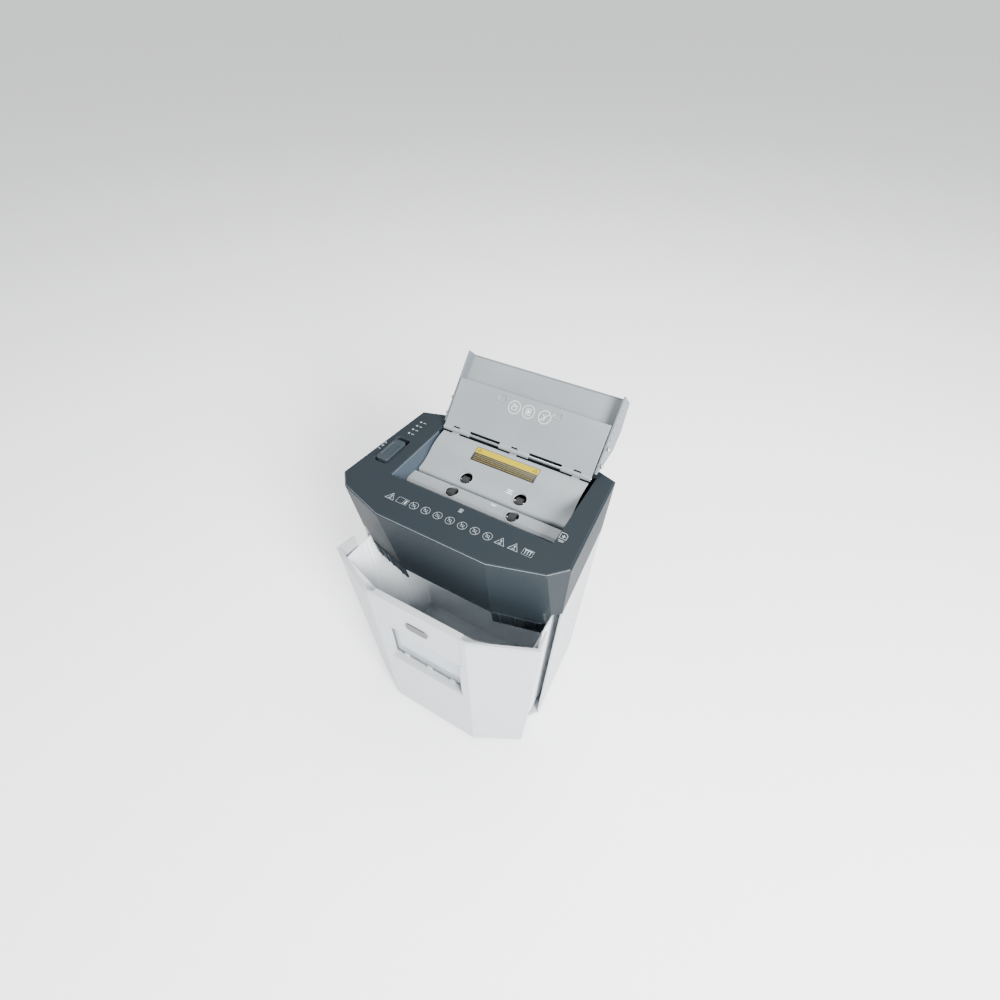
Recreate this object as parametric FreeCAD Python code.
import FreeCAD, Part
import math
import os

# Auto-feed paper shredder, millimetres, +Z up, front towards -Y.
# Every piece is drawn with X = 0 in the middle of the cabinet and Y = 0 near the middle of the head,
# then moved by FOOTPRINT_SHIFT, so that the origin is on the floor in the middle of the whole footprint.

# ---- driving dimensions -------------------------------------------------------------------------
HEAD_TOP = 402.0            # top face of the head
HEAD_LOW = 310.0            # lower edge of the head's sides and back
SKIRT_MID = 277.0           # lower edge of the skirt's centre cut-out
SKIRT_TAB = 250.0           # lower edge of the skirt's two tabs
WALL = 2.5                  # wall of the cabinet panels
SHELL = 3.0                 # wall of the head shell
BEVEL = 2.5                 # bevel around the head's top edge
FOOTPRINT_SHIFT = 42.05     # bin face to lid corner, centred on Y = 0

# half outline of the head, right side, front to back: (x, y)
HEAD_UPPER = [(76.0, -160.0), (142.0, -140.0), (161.0, -120.0), (150.0, 38.0), (76.0, 62.0)]
HEAD_LOWER = [(69.0, -134.4), (149.0, -114.0), (154.3, -113.5), (141.5, 38.0), (72.0, 62.0)]
SKIRT_HALF = 137.5          # the skirt below the sides ends here

FEED_X = 11.0               # middle of the paper path, right of the cabinet's middle
FEED_HALF = 110.0           # half width of the guide plate
RECESS_X = (-104.0, 127.0)  # feed recess in the head
RECESS_Y = (-95.5, 31.0)
RECESS_FLOOR = 363.0

SLOT_REAR = -46.7           # rear face of the feed slot
SLOT_GAP = 4.6              # width of the feed slot
LEDGE_TOP = 377.7
LEDGE_DEPTH = 20.7

HINGE_Y = 22.0              # lid hinge axis
HINGE_Z = 404.0
LID_LEAN = 43.5             # lid's lean from upright, in degrees
PANEL_LENGTH = 71.0         # lid front panel, hinge to top edge
PANEL_T = 2.2
LID_LENGTH = 110.0
LID_HALF = 115.0
REST_GAP = 16.0             # paper pocket between the front panel and the rest
ROD_R = 2.0
KNUCKLE_R = 3.3
LID_KNUCKLES = [(5.0, 22.0), (70.0, 86.0), (97.0, 111.0)]
PLATE_KNUCKLES = [(86.5, 96.5)]
CENTRE_KNUCKLE = 4.5

CUTTER_Z = 339.0            # cutter shaft axes
CUTTER_GAP = 33.0           # distance between the two axes
SLOT_MID = SLOT_REAR - SLOT_GAP / 2
REAR_CUTTER = (SLOT_MID + CUTTER_GAP / 2, CUTTER_Z)
FRONT_CUTTER = (SLOT_MID - CUTTER_GAP / 2, CUTTER_Z)
DISC_R = 17.4
CORE_R = 14.6
DISC_PITCH = 8.0
DISC_T = 3.6
DISC_COUNT = 27
DISC_NOTCHES = 6
JOURNAL_R = 6.0
STUB_R = 4.0                # right end of a cutter shaft, where the feed drive gear sits
RUN = 0.05                  # radial running clearance

FRAME_T = 3.0
FRAME_LEFT = -110.0         # outer face of the left frame plate
FRAME_RIGHT = 133.5         # outer face of the right frame plate
UNDERPAN_TOP = 313.5

HEAVY = 1.5                 # gear module of the cutter drive
FINE = 1.0                  # gear module of the motor stage and the feed drive
SYNC_TEETH = 22
MAIN_TEETH = 30
PINION_TEETH = 12
REDUCTION_TEETH = 50
MOTOR_TEETH = 10
FEED_TEETH = 14
REAR_IDLER_TEETH = 22
FRONT_IDLER_TEETH = 19
MESH_GAP = 0.15             # extra distance between meshing axes

MOTOR_Z = 343.0
MOTOR_R = 23.0
MOTOR_LENGTH = 95.0
FRONT_ROLLER_Y = -61.65
REAR_ROLLER_Y = -34.0
FRONT_ROLLER_R = 7.6
REAR_ROLLER_R = 6.5
ROLLER_HALF = 4.5           # half width of a rubber roller
ROLLER_WINDOW_R = 8.6       # round windows the rollers stand up through
FEED_SHAFT_R = 2.5
REAR_ROLLER_X = 40.6        # rollers either side of the feed middle
FRONT_ROLLER_X = 45.0

BIN_OUT = 46.0              # how far the bin stands out at rest
BIN_TOP = 303.0
BIN_LOW = 10.0
BIN_WALL = 3.0
BIN_FLANGE = 2.2            # thickness of the returns
GLAND_X = -50.0             # middle of the cord outlet, low on the back
GLAND_Z = 40.0
GLAND_R = 7.0
GLAND_BORE_R = 3.6          # hole for the mains cord
GLAND_LENGTH = 16.0
# half outlines of the closed bin front, right side: centre corner, outer corner, end of the return
BIN_UPPER = [(75.0, -160.0), (156.5, -124.5), (150.5, -97.0)]
BIN_LOWER = [(73.0, -156.5), (139.0, -121.0), (133.0, -93.0)]
WINDOW_X = 62.0
WINDOW_Z = (149.0, 237.0)
INSET_X = 66.5
TUB_FRONT = -144.5
TUB_REAR = 21.0
TUB_TOP = 286.0
TUB_LOW = 12.0
# half outlines of the tub, right side: start and end of the chamfered front corner, rear corner
TUB_UPPER = [(76.0, TUB_FRONT), (144.5, -124.0), (142.0, TUB_REAR)]
TUB_LOWER = [(76.0, TUB_FRONT), (129.5, -119.5), (129.5, TUB_REAR - 6.0)]
TUB_WALL = 2.0
TUB_LIP = 3.0

CABINET_UPPER = [(157.0, -116.2), (145.0, 38.0), (74.0, 61.6)]
CABINET_LOWER = [(141.5, -113.0), (132.0, 32.0), (68.0, 54.0)]
BASE_LOW = 4.0
BASE_TOP = 8.0

SWITCH_X = (-145.0, -121.0)
SWITCH_Y = (-84.0, -26.5)
KNOB_Y = (-79.0, -36.0)

Y_AXIS = FreeCAD.Vector(0, 1, 0)
X_AXIS = FreeCAD.Vector(1, 0, 0)
Z_AXIS = FreeCAD.Vector(0, 0, 1)
ORIGIN = FreeCAD.Vector(0, 0, 0)


# ---- helpers ------------------------------------------------------------------------------------
def save(name, shape):
    shape.translate(FreeCAD.Vector(0, FOOTPRINT_SHIFT, 0))
    shape.exportStep("parts/" + name + ".step")


def box(x, y, z):
    return Part.makeBox(x[1] - x[0], y[1] - y[0], z[1] - z[0], FreeCAD.Vector(x[0], y[0], z[0]))


def rod(x0, x1, centre, radius):
    """Cylinder along X; centre is (y, z)."""
    return Part.makeCylinder(radius, x1 - x0, FreeCAD.Vector(x0, centre[0], centre[1]), X_AXIS)


def post(x, y, z0, z1, radius):
    return Part.makeCylinder(radius, z1 - z0, FreeCAD.Vector(x, y, z0), Z_AXIS)


def wire(points):
    vectors = [FreeCAD.Vector(*p) for p in points]
    return Part.makePolygon(vectors + [vectors[0]])


def prism_x(points, x0, x1):
    """Solid from a (y, z) outline, between two X planes."""
    outline = wire([(x0, y, z) for y, z in points])
    return Part.Face(outline).extrude(FreeCAD.Vector(x1 - x0, 0, 0))


def prism_z(points, z0, z1):
    outline = wire([(x, y, z0) for x, y in points])
    return Part.Face(outline).extrude(FreeCAD.Vector(0, 0, z1 - z0))


def loft(low, z0, high, z1):
    """Ruled solid between two (x, y) outlines with the same number of corners."""
    wires = [wire([(x, y, z0) for x, y in low]), wire([(x, y, z1) for x, y in high])]
    return Part.makeLoft(wires, True, True)


def mirrored(half):
    """Closed outline from its right half, front to back."""
    return half + [(-x, y) for x, y in reversed(half)]


def inset(points, distance):
    """Move every side of a convex counter-clockwise outline inward."""
    lines = []
    count = len(points)
    for i in range(count):
        (x0, y0), (x1, y1) = points[i], points[(i + 1) % count]
        length = math.hypot(x1 - x0, y1 - y0)
        nx, ny = -(y1 - y0) / length, (x1 - x0) / length
        lines.append((nx, ny, nx * x0 + ny * y0 + distance))
    corners = []
    for i in range(count):
        a1, b1, c1 = lines[i - 1]
        a2, b2, c2 = lines[i]
        det = a1 * b2 - a2 * b1
        corners.append(((c1 * b2 - c2 * b1) / det, (a1 * c2 - a2 * c1) / det))
    return corners


def between(low, high, share):
    """Outline part of the way from low to high."""
    return [(a[0] + (b[0] - a[0]) * share, a[1] + (b[1] - a[1]) * share) for a, b in zip(low, high)]


def offset_open(points, distance):
    """Offset an open polyline to its left side, square at both ends."""
    normals = []
    for (x0, y0), (x1, y1) in zip(points, points[1:]):
        length = math.hypot(x1 - x0, y1 - y0)
        normals.append((-(y1 - y0) / length, (x1 - x0) / length))
    result = [(points[0][0] + normals[0][0] * distance, points[0][1] + normals[0][1] * distance)]
    for i in range(1, len(points) - 1):
        (ax, ay), (bx, by) = normals[i - 1], normals[i]
        scale = distance / (1 + ax * bx + ay * by)
        result.append((points[i][0] + (ax + bx) * scale, points[i][1] + (ay + by) * scale))
    result.append((points[-1][0] + normals[-1][0] * distance, points[-1][1] + normals[-1][1] * distance))
    return result


def both_sides(shape):
    """A shape and its mirror image about the cabinet's middle plane."""
    return [shape, shape.mirror(ORIGIN, X_AXIS)]


def group(shapes):
    return Part.makeCompound(shapes)


def rounded_box(x, y, z, radius):
    """Box with rounded upright corners."""
    solid = box(x, y, z)
    upright = [e for e in solid.Edges if abs(e.tangentAt(e.FirstParameter).z) > 0.99]
    return solid.makeFillet(radius, upright)


def polar(centre, distance, degrees):
    angle = math.radians(degrees)
    return (centre[0] + distance * math.cos(angle), centre[1] + distance * math.sin(angle))


# ---- gears --------------------------------------------------------------------------------------
ADDENDUM = 0.8
DEDENDUM = 1.15
BACKLASH = 0.22             # tooth thinning at the pitch line, millimetres
FLANK_STEPS = 3
PRESSURE = math.radians(20)


def gear(centre, x0, x1, teeth, module, phase, bore=0.0):
    """Spur gear along X; phase is the angle of one tooth's middle, from +Y towards +Z."""
    pitch_r = teeth * module / 2
    base_r = pitch_r * math.cos(PRESSURE)
    root_r = pitch_r - DEDENDUM * module
    tip_r = pitch_r + ADDENDUM * module
    half_pitch_angle = math.pi / (2 * teeth) - BACKLASH / (2 * pitch_r)

    def half_angle(radius):
        alpha = math.acos(min(1.0, base_r / max(radius, base_r)))
        roll = (math.tan(PRESSURE) - PRESSURE) - (math.tan(alpha) - alpha)
        return half_pitch_angle + roll

    start_r = max(root_r, base_r)
    radii = [root_r] + [start_r + (tip_r - start_r) * i / FLANK_STEPS for i in range(FLANK_STEPS + 1)]
    if root_r >= base_r:
        radii = radii[1:]
    outline = []
    for tooth in range(teeth):
        middle = phase + 2 * math.pi * tooth / teeth
        rising = [(r, middle - half_angle(r)) for r in radii]
        falling = [(r, middle + half_angle(r)) for r in reversed(radii)]
        for r, angle in rising + falling:
            outline.append((centre[0] + r * math.cos(angle), centre[1] + r * math.sin(angle)))
    solid = prism_x(outline, x0, x1)
    if bore:
        solid = solid.cut(rod(x0 - 1, x1 + 1, centre, bore))
    return solid


def mesh_phase(phase, teeth, centre, other_centre, other_teeth):
    """Phase of a gear that meshes with one whose phase is known."""
    heading = math.atan2(other_centre[1] - centre[1], other_centre[0] - centre[0])
    share = (heading - phase) / (2 * math.pi / teeth)
    return heading + math.pi + (share + 0.5) * 2 * math.pi / other_teeth


# ---- shaft places -------------------------------------------------------------------------------
MAIN_TO_PINION = HEAVY * (MAIN_TEETH + PINION_TEETH) / 2 + MESH_GAP
INTERMEDIATE = polar(REAR_CUTTER, MAIN_TO_PINION, 40.0)
REDUCTION_TO_MOTOR = FINE * (REDUCTION_TEETH + MOTOR_TEETH) / 2 + MESH_GAP
MOTOR_DROP = INTERMEDIATE[1] - MOTOR_Z
MOTOR_AXIS = (INTERMEDIATE[0] + math.sqrt(REDUCTION_TO_MOTOR ** 2 - MOTOR_DROP ** 2), MOTOR_Z)


def feed_train(cutter, roller_y, idler_teeth):
    """Idler and roller centres on one line above a cutter."""
    step = FINE * (FEED_TEETH + idler_teeth) / 2 + MESH_GAP
    rise = math.sqrt((2 * step) ** 2 - (roller_y - cutter[0]) ** 2)
    roller = (roller_y, cutter[1] + rise)
    idler = ((cutter[0] + roller[0]) / 2, (cutter[1] + roller[1]) / 2)
    return idler, roller


REAR_IDLER, REAR_ROLLER = feed_train(REAR_CUTTER, REAR_ROLLER_Y, REAR_IDLER_TEETH)
FRONT_IDLER, FRONT_ROLLER = feed_train(FRONT_CUTTER, FRONT_ROLLER_Y, FRONT_IDLER_TEETH)

SYNC_PLANE = (-119.0, -112.0)
MAIN_PLANE = (-128.0, -121.0)
REDUCTION_PLANE = (-136.0, -130.0)
FEED_PLANE = (135.0, 140.0)
GEARBOX_PLANE = (-141.0, -138.5)


# ---- cabinet ------------------------------------------------------------------------------------
def base_tray():
    outline = [(131.0, -125.0), (141.0, -113.0), (131.8, 31.6), (67.8, 53.6)]
    tray = prism_z(mirrored(outline), BASE_LOW, BASE_TOP)
    sump = prism_z(inset(mirrored(outline), 14.0), BASE_LOW + 2.5, BASE_TOP + 1)
    return tray.cut(sump)


def feet():
    places = [(115.0, -98.0), (108.0, 20.0)]
    return group([post(side * x, y, 0.0, BASE_LOW, 9.0) for x, y in places for side in (-1, 1)])


def bin_rails():
    rail = box((88.0, 98.0), (-108.0, 15.0), (BASE_LOW + 2.5, TUB_LOW - 0.3))
    return group(both_sides(rail))


def side_panel():
    """Right side panel, leaning inward towards the floor."""
    def strip(points):
        outer = points[:2]
        inner = offset_open(outer, WALL)
        return [outer[0], outer[1], inner[1], inner[0]]
    return loft(strip(CABINET_LOWER), BASE_TOP, strip(CABINET_UPPER), HEAD_LOW)


def back_panel():
    def strip(points):
        half = points[1:]
        outer = mirrored(half)
        return outer + list(reversed(offset_open(outer, WALL)))
    panel = loft(strip(CABINET_LOWER), BASE_TOP, strip(CABINET_UPPER), HEAD_LOW)
    for side in both_sides(side_panel()):
        panel = panel.cut(side)
    for row in range(7):
        panel = panel.cut(box((-45.0, 45.0), (30.0, 80.0), (222.0 + 9.0 * row, 226.0 + 9.0 * row)))
    return panel.cut(Part.makeCylinder(GLAND_R, 60.0, FreeCAD.Vector(GLAND_X, 20.0, GLAND_Z), Y_AXIS))


def cord_gland():
    sleeve = Part.makeCylinder(GLAND_R, GLAND_LENGTH, FreeCAD.Vector(GLAND_X, 46.0, GLAND_Z), Y_AXIS)
    flange = Part.makeCylinder(GLAND_R + 3.0, 2.0, FreeCAD.Vector(GLAND_X, 55.2, GLAND_Z), Y_AXIS)
    bore = Part.makeCylinder(GLAND_BORE_R, 30.0, FreeCAD.Vector(GLAND_X, 40.0, GLAND_Z), Y_AXIS)
    return sleeve.fuse(flange).cut(bore)


def back_screws():
    screws = []
    for z, y in ((24.0, 54.55), (294.0, 61.35)):
        for x in (-58.0, 58.0):
            head = Part.makeCylinder(3.6, 1.8, FreeCAD.Vector(x, y, z), Y_AXIS)
            slot = box((x - 2.6, x + 2.6), (y + 1.0, y + 3.0), (z - 0.4, z + 0.4))
            screws.append(head.cut(slot))
    return group(screws)


# ---- head ---------------------------------------------------------------------------------------
def head_outline(z):
    share = (z - SKIRT_TAB) / (HEAD_TOP - SKIRT_TAB)
    return mirrored(between(HEAD_LOWER, HEAD_UPPER, share))


def head_shell():
    full = head_outline(HEAD_TOP - BEVEL)
    outer = loft(head_outline(SKIRT_TAB), SKIRT_TAB, full, HEAD_TOP - BEVEL)
    outer = outer.fuse(loft(full, HEAD_TOP - BEVEL, inset(head_outline(HEAD_TOP), BEVEL), HEAD_TOP))
    inner_low = inset(head_outline(SKIRT_TAB), SHELL)
    inner_high = inset(head_outline(HEAD_TOP), SHELL)
    shell = outer.cut(loft(inner_low, SKIRT_TAB - 1, inner_high, HEAD_TOP - SHELL))

    # below the side edge only the front skirt is left
    shell = shell.cut(box((-200.0, 200.0), (-113.0, 100.0), (200.0, HEAD_LOW)))
    for side in both_sides(box((SKIRT_HALF, 200.0), (-200.0, 0.0), (200.0, HEAD_LOW))):
        shell = shell.cut(side)
    shell = shell.cut(box((-70.0, 70.0), (-200.0, -100.0), (200.0, SKIRT_MID)))

    # feed recess with a short wall around it
    wall = box((RECESS_X[0] - 2, RECESS_X[1] + 2), (RECESS_Y[0] - 2, RECESS_Y[1] + 2),
               (RECESS_FLOOR, HEAD_TOP - 1))
    wall = wall.cut(box((-200.0, 200.0), (5.0, 100.0), (300.0, HEAD_TOP - 14.0)))
    shell = shell.fuse(wall)
    shell = shell.cut(box(RECESS_X, RECESS_Y, (RECESS_FLOOR - 1, HEAD_TOP + 1)))
    for centre in (REAR_ROLLER, FRONT_ROLLER):
        passage = rod(-112.0, 134.0, centre, FEED_SHAFT_R + 1.5)
        drop = box((-112.0, 134.0), (centre[0] - 4.0, centre[0] + 4.0), (RECESS_FLOOR - 1, centre[1]))
        shell = shell.cut(passage).cut(drop)

    # switch pocket, lens holes, back vents
    shell = shell.cut(rounded_box(SWITCH_X, SWITCH_Y, (380.0, HEAD_TOP + 1), 6.0))
    for x, y in lens_places():
        shell = shell.cut(post(x, y, 380.0, HEAD_TOP + 1, 1.5))
    for column in range(-7, 8):
        shell = shell.cut(box((8.0 * column - 1.6, 8.0 * column + 1.6), (50.0, 70.0), (330.0, 370.0)))
    return shell.removeSplitter()


def lens_places():
    return [(-136.0, 9.5 * step) for step in (-1.5, -0.5, 0.5, 1.5)]


def indicator_lenses():
    return group([post(x, y, HEAD_TOP - SHELL - 2, HEAD_TOP + 0.3, 1.5) for x, y in lens_places()])


def head_underpan():
    outline = inset(head_outline(HEAD_LOW), SHELL + 0.4)
    pan = prism_z(outline, UNDERPAN_TOP - 3.0, UNDERPAN_TOP)
    pan = pan.cut(box((-200.0, 200.0), (-200.0, -108.0), (300.0, 330.0)))
    return pan.cut(box((FEED_X - 112.0, FEED_X + 112.0), (-84.0, -14.0), (300.0, 330.0)))


def switch_bezel():
    gap = 0.2
    x = (SWITCH_X[0] + gap, SWITCH_X[1] - gap)
    y = (SWITCH_Y[0] + gap, SWITCH_Y[1] - gap)
    dish = rounded_box(x, y, (389.0, HEAD_TOP - 0.5), 5.8)
    hollow = rounded_box((x[0] + 1.2, x[1] - 1.2), (y[0] + 1.2, y[1] - 1.2), (391.0, HEAD_TOP + 1), 4.6)
    switch = box((-139.0, -127.0), (-70.0, -44.0), (376.0, 389.0))
    return dish.cut(hollow).fuse(switch)


def switch_knob():
    block = rounded_box((-142.4, -123.6), KNOB_Y, (391.3, HEAD_TOP + 2.4), 4.0)
    grip = rounded_box((-139.6, -126.4), (KNOB_Y[0] + 8.0, KNOB_Y[1] - 8.0), (HEAD_TOP + 1.4, HEAD_TOP + 5), 1.5)
    return block.cut(grip)


# ---- paper path ---------------------------------------------------------------------------------
def guide_plate():
    """Curved plate from the hinge down into the slot, with knuckles at its top edge."""
    crest = [(18.0, 400.4), (6.0, 398.6), (-10.0, 393.4), (-23.0, 385.6), (-34.0, 380.6), (-43.0, 378.6)]
    curve = Part.BSplineCurve()
    curve.interpolate([FreeCAD.Vector(0, y, z) for y, z in crest])
    nose = Part.Arc(FreeCAD.Vector(0, -43.0, 378.6), FreeCAD.Vector(0, -45.9, 377.1), FreeCAD.Vector(0, SLOT_REAR, 374.0))
    plate_t = 2.0
    below = [FreeCAD.Vector(0, y, z - plate_t) for y, z in crest]
    lower = Part.BSplineCurve()
    lower.interpolate(below)
    foot = FreeCAD.Vector(0, SLOT_REAR, RECESS_FLOOR)
    foot_in = FreeCAD.Vector(0, SLOT_REAR + plate_t, RECESS_FLOOR)
    turn = FreeCAD.Vector(0, SLOT_REAR + plate_t, 374.0)
    edges = [
        curve.toShape(),
        nose.toShape(),
        Part.makeLine(FreeCAD.Vector(0, SLOT_REAR, 374.0), foot),
        Part.makeLine(foot, foot_in),
        Part.makeLine(foot_in, turn),
        Part.makeLine(turn, below[-1]),
        lower.toShape(),
        Part.makeLine(below[0], FreeCAD.Vector(0, *crest[0])),
    ]
    profile = Part.Face(Part.Wire(Part.__sortEdges__(edges)))
    profile.translate(FreeCAD.Vector(FEED_X - FEED_HALF, 0, 0))
    plate = profile.extrude(FreeCAD.Vector(2 * FEED_HALF, 0, 0))

    spans = [(-CENTRE_KNUCKLE, CENTRE_KNUCKLE)]
    for low, high in PLATE_KNUCKLES:
        spans += [(low, high), (-high, -low)]
    for low, high in spans:
        x = (FEED_X + low, FEED_X + high)
        plate = plate.fuse(rod(x[0], x[1], (HINGE_Y, HINGE_Z), KNUCKLE_R))
        plate = plate.fuse(box(x, (16.0, HINGE_Y + 2), (398.4, 401.4)))
    plate = plate.cut(rod(-120.0, 150.0, (HINGE_Y, HINGE_Z), ROD_R))
    for side in (-1, 1):
        x = FEED_X + side * REAR_ROLLER_X
        window = post(x, REAR_ROLLER[0], 370.0, 390.0, ROLLER_WINDOW_R)
        plate = plate.cut(window)
    return plate


def feed_ledge():
    """Hollow bar in front of the slot, with round windows for the front rollers."""
    rear = SLOT_REAR - SLOT_GAP
    front = rear - LEDGE_DEPTH
    x = (FEED_X - 113.0, FEED_X + FEED_HALF)
    section = [(front, RECESS_FLOOR), (rear, RECESS_FLOOR), (rear, LEDGE_TOP - 0.8), (rear - 0.8, LEDGE_TOP),
               (front + 4.0, LEDGE_TOP), (front, LEDGE_TOP - 3.0)]
    bar = prism_x(section, x[0], x[1])
    bar = bar.cut(box((x[0] + 2, x[1] - 2), (front + 2, rear - 1.6), (RECESS_FLOOR - 1, LEDGE_TOP - 2)))
    for side in (-1, 1):
        centre = FEED_X + side * FRONT_ROLLER_X
        bar = bar.cut(post(centre, FRONT_ROLLER[0], 370.0, 390.0, ROLLER_WINDOW_R))
    return bar.cut(rod(x[0] - 1, x[1] + 1, FRONT_ROLLER, FEED_SHAFT_R + 0.5))


def throat_frame():
    """Floor of the recess with the slot and two lips down to the cutters."""
    plate = box((RECESS_X[0] + 0.3, RECESS_X[1] - 0.3), (RECESS_Y[0] + 0.3, -18.0), (RECESS_FLOOR - 3, RECESS_FLOOR))
    lips = box((FEED_X - 110.0, FEED_X + 110.0), (SLOT_REAR - SLOT_GAP - 2.4, SLOT_REAR + 2.4), (354.5, RECESS_FLOOR - 3))
    slot = box((FEED_X - 108.0, FEED_X + 108.0), (SLOT_REAR - SLOT_GAP, SLOT_REAR), (350.0, RECESS_FLOOR + 1))
    return plate.fuse(lips).cut(slot)


# ---- lid ----------------------------------------------------------------------------------------
def lid_point(along, behind):
    """(y, z) of a point: along the lid from the hinge, and behind the front panel's inner face."""
    lean = math.radians(LID_LEAN)
    y = HINGE_Y + along * math.sin(lean) + behind * math.cos(lean)
    z = HINGE_Z + along * math.cos(lean) - behind * math.sin(lean)
    return (y, z)


def lid_prism(corners, x0, x1):
    return prism_x([lid_point(s, t) for s, t in corners], x0, x1)


def lid_front_panel():
    half = FEED_HALF + 1.0
    start = 5.0
    panel = lid_prism([(start, -PANEL_T), (PANEL_LENGTH, -PANEL_T), (PANEL_LENGTH, 0), (start, 0)],
                      FEED_X - half, FEED_X + half)
    for low, high in LID_KNUCKLES:
        for x0, x1 in ((FEED_X + low, FEED_X + high), (FEED_X - high, FEED_X - low)):
            tongue = lid_prism([(0, -PANEL_T), (start + 1, -PANEL_T), (start + 1, 0), (0, 0)], x0, x1)
            barrel = rod(x0, x1, (HINGE_Y, HINGE_Z), KNUCKLE_R)
            panel = panel.fuse(tongue).fuse(barrel)
    panel = panel.cut(rod(-130.0, 150.0, (HINGE_Y, HINGE_Z), ROD_R + RUN))
    for side in (-1, 1):
        x = FEED_X + side * 41.0
        relief = lid_prism([(59.0, -PANEL_T - 1), (65.0, -PANEL_T - 1), (65.0, -PANEL_T + 0.5), (59.0, -PANEL_T + 0.5)],
                           x - 5.0, x + 5.0)
        panel = panel.cut(relief)
    return panel


def lid_paper_rest():
    return lid_prism([(24.0, REST_GAP), (107.0, REST_GAP), (107.0, REST_GAP + 2), (24.0, REST_GAP + 2)],
                     FEED_X - LID_HALF + WALL, FEED_X + LID_HALF - WALL)


def lid_back_cover():
    """Bulging cover with a wall down each side and an open mouth for the paper."""
    outer = [(8.0, 0.0), (8.0, 5.0), (46.0, 44.0), (74.0, 48.0), (LID_LENGTH, 34.0), (LID_LENGTH, 0.0)]
    inner = [(5.0, -2.0), (5.0, 1.5), (46.8, 41.2), (73.6, 45.4), (107.5, 32.2), (107.5, 18.0),
             (112.0, 18.0), (112.0, -2.0)]
    cover = lid_prism(outer, FEED_X - LID_HALF, FEED_X + LID_HALF)
    hollow = lid_prism(inner, FEED_X - LID_HALF + WALL, FEED_X + LID_HALF - WALL)
    cover = cover.cut(hollow)
    for pin in lid_pins().Solids:
        cover = cover.cut(pin)
    return cover


def lid_pins():
    """Round-headed pins that hold the front panel to the side walls."""
    profile = [(0.0, 0.0), (0.0, 1.8), (4.2, 1.8), (4.9, 2.6), (5.6, 3.0), (6.8, 3.0), (7.8, 2.2), (8.4, 1.0),
               (8.4, 0.0)]
    pins = []
    for side in (-1, 1):
        turned = Part.Face(wire([(side * x, radius, 0.0) for x, radius in profile]))
        for along in (20.0, 43.0):
            y, z = lid_point(along, 5.0)
            pin = turned.revolve(ORIGIN, X_AXIS, 360)
            pin.translate(FreeCAD.Vector(FEED_X + side * (LID_HALF - 4.0), y, z))
            pins.append(pin)
    return group(pins)


def hinge_rods():
    rods = []
    for side in (-1, 1):
        x0, x1 = sorted((FEED_X + side * 0.5, FEED_X + side * 112.0))
        rods.append(rod(x0, x1, (HINGE_Y, HINGE_Z), ROD_R))
    return group(rods)


# ---- cutting unit -------------------------------------------------------------------------------
def cutter(centre, shift, x_left, x_right):
    """Shaft with a stack of notched discs, turned from one bar."""
    x0 = FRAME_LEFT + FRAME_T + 0.5
    x1 = FRAME_RIGHT - FRAME_T - 0.5
    first = FEED_X - DISC_PITCH * (DISC_COUNT - 1) / 2 + shift
    solid = rod(x0, x1, centre, CORE_R)
    for i in range(DISC_COUNT):
        middle = first + DISC_PITCH * i
        solid = solid.fuse(rod(middle - DISC_T / 2, middle + DISC_T / 2, centre, DISC_R))
    for i in range(DISC_NOTCHES):
        angle = 360.0 * i / DISC_NOTCHES
        tip = polar(centre, CORE_R + 0.2, angle)
        lead = polar(centre, DISC_R + 1.5, angle + 2.0)
        trail = polar(centre, DISC_R + 1.5, angle - 16.0)
        solid = solid.cut(prism_x([tip, lead, trail], x0 - 1, x1 + 1))
    solid = solid.fuse(rod(x_left, FRAME_RIGHT + 0.8, centre, JOURNAL_R))
    return solid.fuse(rod(FRAME_RIGHT, x_right, centre, STUB_R))


def stripper(front_side):
    """Comb whose fingers reach between the discs of one cutter."""
    if front_side:
        reach, bar_face, bar_back, shift = FRONT_CUTTER[0] - CORE_R - 0.5, -88.0, -92.0, DISC_PITCH / 4
    else:
        reach, bar_face, bar_back, shift = REAR_CUTTER[0] + CORE_R + 0.5, -13.0, -9.5, -DISC_PITCH / 4
    y = sorted((bar_face, bar_back))
    comb = box((FRAME_LEFT + FRAME_T, FRAME_RIGHT - FRAME_T), y, (331.0, 347.0))
    fingers = sorted((bar_face, reach))
    first = FEED_X - DISC_PITCH * (DISC_COUNT - 1) / 2 + shift
    for i in range(DISC_COUNT):
        middle = first + DISC_PITCH * i
        comb = comb.fuse(box((middle - 1.5, middle + 1.5), fingers, (334.0, 344.0)))
    return comb


FRAME_OUTLINE = [(-102.0, UNDERPAN_TOP), (36.0, UNDERPAN_TOP), (36.0, 360.0), (0.0, 386.0), (-70.0, 386.0),
                 (-102.0, 356.0)]
TIE_PLACES = [(-97.0, 322.0), (-97.0, 350.0), (-9.0, 319.0), (31.0, 318.0)]


def frame_plate(x0, holes):
    plate = prism_x(FRAME_OUTLINE, x0, x0 + FRAME_T)
    for centre, radius in holes:
        plate = plate.cut(rod(x0 - 1, x0 + FRAME_T + 1, centre, radius))
    return plate


def shaft_holes():
    return [(REAR_CUTTER, JOURNAL_R + RUN), (FRONT_CUTTER, JOURNAL_R + RUN),
            (REAR_ROLLER, FEED_SHAFT_R + RUN), (FRONT_ROLLER, FEED_SHAFT_R + RUN)]


def frame_plate_left():
    holes = shaft_holes() + [(INTERMEDIATE, 3.0 + RUN), (MOTOR_AXIS, 4.0)]
    return frame_plate(FRAME_LEFT, holes)


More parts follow.
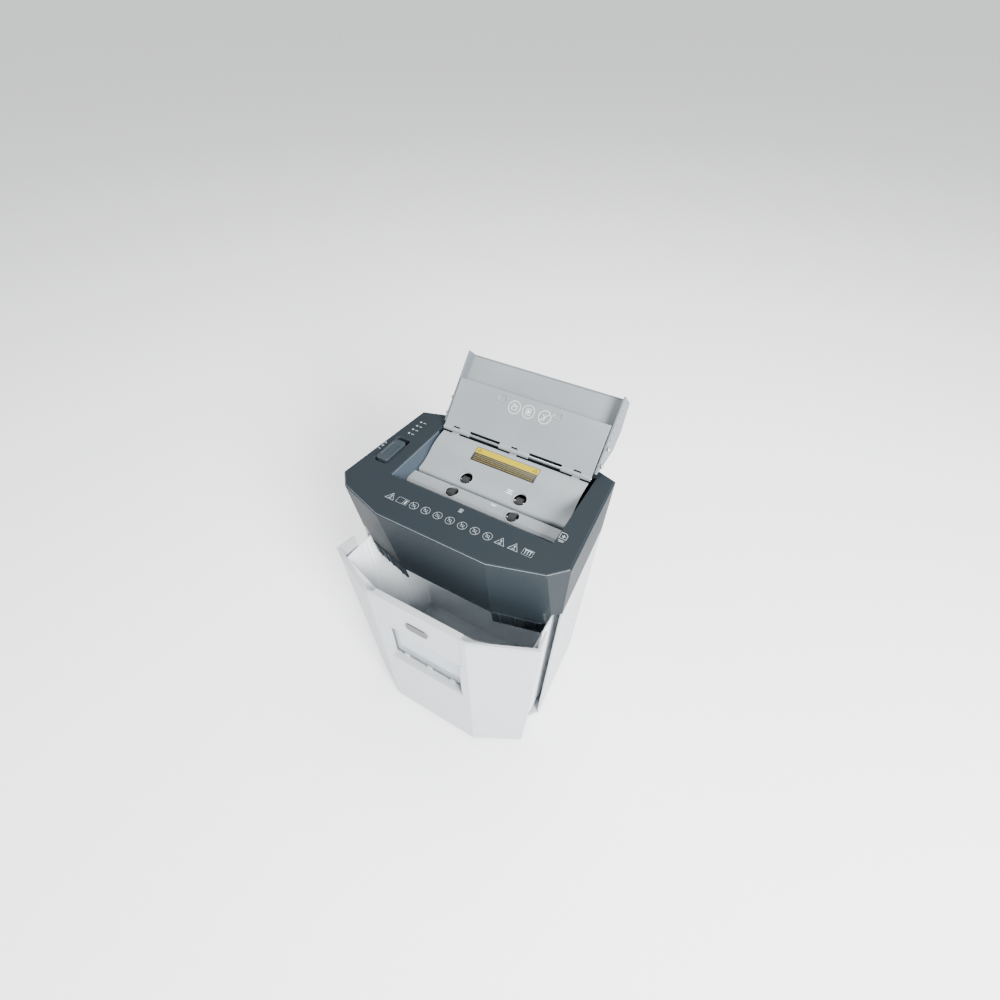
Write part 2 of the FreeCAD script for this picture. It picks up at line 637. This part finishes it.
def frame_plate_right():
    """Right plate with the two stub axles that carry the idlers."""
    plate = frame_plate(FRAME_RIGHT - FRAME_T, shaft_holes())
    for centre in (REAR_IDLER, FRONT_IDLER):
        plate = plate.fuse(rod(FRAME_RIGHT - 1, FEED_PLANE[1] + 1.5, centre, 2.5))
        plate = plate.fuse(rod(FRAME_RIGHT - 1, FEED_PLANE[0] - 0.3, centre, 4.5))
    return plate


def tie_rods():
    return group([rod(FRAME_LEFT + FRAME_T, FRAME_RIGHT - FRAME_T, place, 4.0) for place in TIE_PLACES])


def gearbox_plate():
    plate = prism_x([(-56.0, UNDERPAN_TOP), (34.0, UNDERPAN_TOP), (34.0, 352.0), (6.0, 378.0), (-56.0, 366.0)],
                    GEARBOX_PLANE[0], GEARBOX_PLANE[1])
    plate = plate.cut(rod(-150.0, -130.0, INTERMEDIATE, 3.0 + RUN))
    for place in ((-52.0, 362.0), (30.0, 318.0)):
        plate = plate.fuse(rod(GEARBOX_PLANE[1] - 0.5, FRAME_LEFT, place, 3.0))
    return plate


def intermediate_shaft():
    """Shaft with its pinion cut in one piece."""
    phase = mesh_phase(0.0, MAIN_TEETH, REAR_CUTTER, INTERMEDIATE, PINION_TEETH)
    shaft = rod(GEARBOX_PLANE[0] + 0.5, FRAME_LEFT + FRAME_T - 0.2, INTERMEDIATE, 3.0)
    return shaft.fuse(gear(INTERMEDIATE, MAIN_PLANE[0], MAIN_PLANE[1], PINION_TEETH, HEAVY, phase))


def reduction_gear():
    return gear(INTERMEDIATE, REDUCTION_PLANE[0], REDUCTION_PLANE[1], REDUCTION_TEETH, FINE, 0.0, 3.0)


def motor_shaft():
    phase = mesh_phase(0.0, REDUCTION_TEETH, INTERMEDIATE, MOTOR_AXIS, MOTOR_TEETH)
    shaft = rod(REDUCTION_PLANE[0] - 1, FRAME_LEFT + FRAME_T + MOTOR_LENGTH + 8, MOTOR_AXIS, 2.5)
    return shaft.fuse(gear(MOTOR_AXIS, REDUCTION_PLANE[0], REDUCTION_PLANE[1], MOTOR_TEETH, FINE, phase))


def motor_can():
    x0 = FRAME_LEFT + FRAME_T
    can = rod(x0, x0 + MOTOR_LENGTH, MOTOR_AXIS, MOTOR_R)
    cap = rod(x0 + MOTOR_LENGTH, x0 + MOTOR_LENGTH + 5, MOTOR_AXIS, 8.0)
    return can.fuse(cap).cut(rod(x0 - 1, x0 + MOTOR_LENGTH + 6, MOTOR_AXIS, 2.5 + RUN))


def thermal_cutout():
    top = MOTOR_AXIS[1] + MOTOR_R
    return box((-70.0, -54.0), (MOTOR_AXIS[0] - 5.0, MOTOR_AXIS[0] + 5.0), (top, top + 5.0))


def circuit_board():
    return box((-6.0, 84.0), (51.0, 52.6), (332.0, 376.0))


def board_parts():
    relay = box((8.0, 28.0), (40.0, 51.0), (340.0, 356.0))
    choke = box((36.0, 58.0), (38.0, 51.0), (338.0, 360.0))
    capacitor = Part.makeCylinder(6.0, 16.0, FreeCAD.Vector(72.0, 35.0, 350.0), Y_AXIS)
    return group([relay, choke, capacitor])


# ---- feed drive ---------------------------------------------------------------------------------
def feed_shaft(centre):
    return rod(FRAME_LEFT + 0.2, FEED_PLANE[1] + 1.5, centre, FEED_SHAFT_R)


def feed_rollers(centre, radius, spread):
    rollers = []
    for side in (-1, 1):
        middle = FEED_X + side * spread
        sleeve = rod(middle - ROLLER_HALF, middle + ROLLER_HALF, centre, radius)
        rollers.append(sleeve.cut(rod(-130.0, 150.0, centre, FEED_SHAFT_R)))
    return group(rollers)


# ---- bin ----------------------------------------------------------------------------------------
def out(shape):
    """Move a bin piece from its closed place to its place at rest."""
    shape.translate(FreeCAD.Vector(0, -BIN_OUT, 0))
    return shape


def front_face_y(z):
    """Outer face of the bin front's middle facet."""
    share = (z - BIN_LOW) / (BIN_TOP - BIN_LOW)
    return BIN_LOWER[0][1] + (BIN_UPPER[0][1] - BIN_LOWER[0][1]) * share


def front_slab(x, z, depth):
    """Piece that follows the leaning middle facet; depth is (front, back) behind its face."""
    section = [(front_face_y(z[0]) + depth[0], z[0]), (front_face_y(z[0]) + depth[1], z[0]),
               (front_face_y(z[1]) + depth[1], z[1]), (front_face_y(z[1]) + depth[0], z[1])]
    return prism_x(section, x[0], x[1])


def bin_front():
    def outline(half):
        corner, edge, tail = half
        root = (edge[0] - 2.0, edge[1] + 2.2)
        inner_tail = (tail[0] - BIN_FLANGE, tail[1])
        inner_root = (edge[0] - 2.6 - BIN_FLANGE, edge[1] + 2.4)
        inner_corner = (corner[0] - 0.8, corner[1] + BIN_WALL)
        return mirrored([corner, edge, root, tail, inner_tail, inner_root, inner_corner])
    cover = loft(outline(BIN_LOWER), BIN_LOW, outline(BIN_UPPER), BIN_TOP)
    cover = cover.cut(box((-WINDOW_X, WINDOW_X), (-200.0, -130.0), WINDOW_Z))
    cover = cover.cut(box((-INSET_X, INSET_X), (-200.0, -140.0), (WINDOW_Z[1] - 0.5, BIN_TOP + 1)))
    rib = [(front_face_y(40.0) + 1, 40.0), (TUB_FRONT, 40.0), (TUB_FRONT, 270.0), (front_face_y(270.0) + 1, 270.0)]
    for side in both_sides(prism_x(rib, 69.0, 73.0)):
        cover = cover.fuse(side)
    return out(cover)


def bin_inset_panel():
    gap = 0.35
    x = (-INSET_X + gap, INSET_X - gap)
    panel = front_slab(x, (WINDOW_Z[1] + 0.1, BIN_TOP - 0.3), (0.6, 3.2))
    flange = front_slab((-68.5, 68.5), (WINDOW_Z[1] + 0.1, BIN_TOP - 0.3), (3.05, 4.4))
    panel = panel.fuse(flange)
    grip = box(x, (front_face_y(BIN_TOP) + 3.0, front_face_y(BIN_TOP) + 10.0), (BIN_TOP - 2.9, BIN_TOP - 0.3))
    return out(panel.fuse(grip)).cut(badge())


def badge():
    """Plain raised badge with no mark on it."""
    plate = Part.makeBox(34.0, 1.5, 14.0, FreeCAD.Vector(-17.0, front_face_y(268.0) - 0.9, 261.0))
    ends = [e for e in plate.Edges if abs(e.tangentAt(e.FirstParameter).y) > 0.99]
    return out(plate.makeFillet(6.0, ends))


def window_frame():
    gap = 0.3
    x = (-WINDOW_X + gap, WINDOW_X - gap)
    z = (WINDOW_Z[0] + gap, WINDOW_Z[1] - gap - 0.5)
    y = (front_face_y(z[0]) + 1.2, TUB_FRONT - 0.4)
    frame = box(x, y, z)
    frame = frame.cut(box((x[0] + 2, x[1] - 2), (-200.0, y[1] - 1.2), (z[0] + 2, z[1] - 2)))
    return out(frame.cut(box((x[0] + 6, x[1] - 6), (-200.0, -100.0), (z[0] + 6, z[1] - 6))))


def bin_window():
    x = (-WINDOW_X + 2.5, WINDOW_X - 2.5)
    z = (WINDOW_Z[0] + 2.5, WINDOW_Z[1] - 3.0)
    back = TUB_FRONT - 1.6
    return out(box(x, (back - 2.0, back), z))


def window_clips():
    back = TUB_FRONT - 3.6
    clips = []
    for x in (-40.0, 0.0, 40.0):
        clips.append(box((x - 4.0, x + 4.0), (back - 3.0, back), (WINDOW_Z[0] + 2.3, WINDOW_Z[0] + 8.3)))
    return out(group(clips))


def bin_tub():
    low, high = mirrored(TUB_LOWER), mirrored(TUB_UPPER)
    tub = loft(low, TUB_LOW, high, TUB_TOP)
    # the lip closes the gap to the bin front and stands out at the rear
    lip = mirrored([(70.0, -155.1), TUB_UPPER[1], (TUB_UPPER[2][0], TUB_REAR + TUB_LIP)])
    tub = tub.fuse(prism_z(lip, TUB_TOP - 2.5, TUB_TOP))
    tab = box((63.0, 73.0), (TUB_REAR + TUB_LIP - 1, TUB_REAR + TUB_LIP + 3), (TUB_TOP - 2.5, TUB_TOP + 6.0))
    inner = loft(inset(low, TUB_WALL), TUB_LOW + TUB_WALL, inset(high, TUB_WALL), TUB_TOP + 0.01)
    return out(tub.cut(inner).fuse(tab))


# ---- interlock ----------------------------------------------------------------------------------
PLUNGER_TIP = TUB_REAR + TUB_LIP + 3.6


def interlock_switch():
    body = box((60.0, 76.0), (PLUNGER_TIP + 2.6, PLUNGER_TIP + 16.0), (284.0, UNDERPAN_TOP - 3.0))
    return body.cut(Part.makeCylinder(2.0 + RUN, 9.0, FreeCAD.Vector(68.0, PLUNGER_TIP + 2.0, 289.0), Y_AXIS))


def interlock_plunger():
    return Part.makeCylinder(2.0, 8.0, FreeCAD.Vector(68.0, PLUNGER_TIP, 289.0), Y_AXIS)


# ---- write every node ---------------------------------------------------------------------------
def main():
    os.makedirs("parts", exist_ok=True)
    save("base_tray", base_tray())
    save("feet", feet())
    save("bin_rails", bin_rails())
    right_panel, left_panel = both_sides(side_panel())
    save("side_panel_right", right_panel)
    save("side_panel_left", left_panel)
    save("back_panel", back_panel())
    save("cord_gland", cord_gland())
    save("back_screws", back_screws())

    save("head_shell", head_shell())
    save("head_underpan", head_underpan())
    save("indicator_lenses", indicator_lenses())
    save("switch_bezel", switch_bezel())
    save("switch_knob", switch_knob())
    save("guide_plate", guide_plate())
    save("feed_ledge", feed_ledge())
    save("throat_frame", throat_frame())

    save("lid_front_panel", lid_front_panel())
    save("lid_paper_rest", lid_paper_rest())
    save("lid_back_cover", lid_back_cover())
    save("lid_pins", lid_pins())
    save("hinge_rods", hinge_rods())

    save("frame_plate_left", frame_plate_left())
    save("frame_plate_right", frame_plate_right())
    save("tie_rods", tie_rods())
    save("gearbox_plate", gearbox_plate())
    save("stripper_front", stripper(True))
    save("stripper_rear", stripper(False))
    save("rear_cutter", cutter(REAR_CUTTER, DISC_PITCH / 4, MAIN_PLANE[0] - 0.5, FEED_PLANE[1] + 1))
    save("front_cutter", cutter(FRONT_CUTTER, -DISC_PITCH / 4, SYNC_PLANE[0] - 0.5, FEED_PLANE[1] + 1))

    sync_phase = mesh_phase(0.0, SYNC_TEETH, REAR_CUTTER, FRONT_CUTTER, SYNC_TEETH)
    save("rear_sync_gear", gear(REAR_CUTTER, *SYNC_PLANE, SYNC_TEETH, HEAVY, 0.0, JOURNAL_R))
    save("front_sync_gear", gear(FRONT_CUTTER, *SYNC_PLANE, SYNC_TEETH, HEAVY, sync_phase, JOURNAL_R))
    save("main_gear", gear(REAR_CUTTER, *MAIN_PLANE, MAIN_TEETH, HEAVY, 0.0, JOURNAL_R))
    save("intermediate_shaft", intermediate_shaft())
    save("reduction_gear", reduction_gear())
    save("motor_shaft", motor_shaft())
    save("motor_can", motor_can())
    save("thermal_cutout", thermal_cutout())
    save("circuit_board", circuit_board())
    save("board_parts", board_parts())

    trains = (("rear", REAR_CUTTER, REAR_IDLER, REAR_ROLLER, REAR_IDLER_TEETH, REAR_ROLLER_R, REAR_ROLLER_X),
              ("front", FRONT_CUTTER, FRONT_IDLER, FRONT_ROLLER, FRONT_IDLER_TEETH, FRONT_ROLLER_R, FRONT_ROLLER_X))
    for name, drive, idler, roller, idler_teeth, radius, spread in trains:
        idler_phase = mesh_phase(0.0, FEED_TEETH, drive, idler, idler_teeth)
        roller_phase = mesh_phase(idler_phase, idler_teeth, idler, roller, FEED_TEETH)
        save(name + "_feed_drive_gear", gear(drive, *FEED_PLANE, FEED_TEETH, FINE, 0.0, STUB_R))
        save(name + "_idler_gear", gear(idler, *FEED_PLANE, idler_teeth, FINE, idler_phase, 2.5 + RUN))
        save(name + "_roller_gear", gear(roller, *FEED_PLANE, FEED_TEETH, FINE, roller_phase, FEED_SHAFT_R))
        save(name + "_feed_shaft", feed_shaft(roller))
        save(name + "_feed_rollers", feed_rollers(roller, radius, spread))

    save("bin_front", bin_front())
    save("bin_inset_panel", bin_inset_panel())
    save("badge", badge())
    save("window_frame", window_frame())
    save("bin_window", bin_window())
    save("window_clips", window_clips())
    save("bin_tub", bin_tub())
    save("interlock_switch", interlock_switch())
    save("interlock_plunger", interlock_plunger())


main()
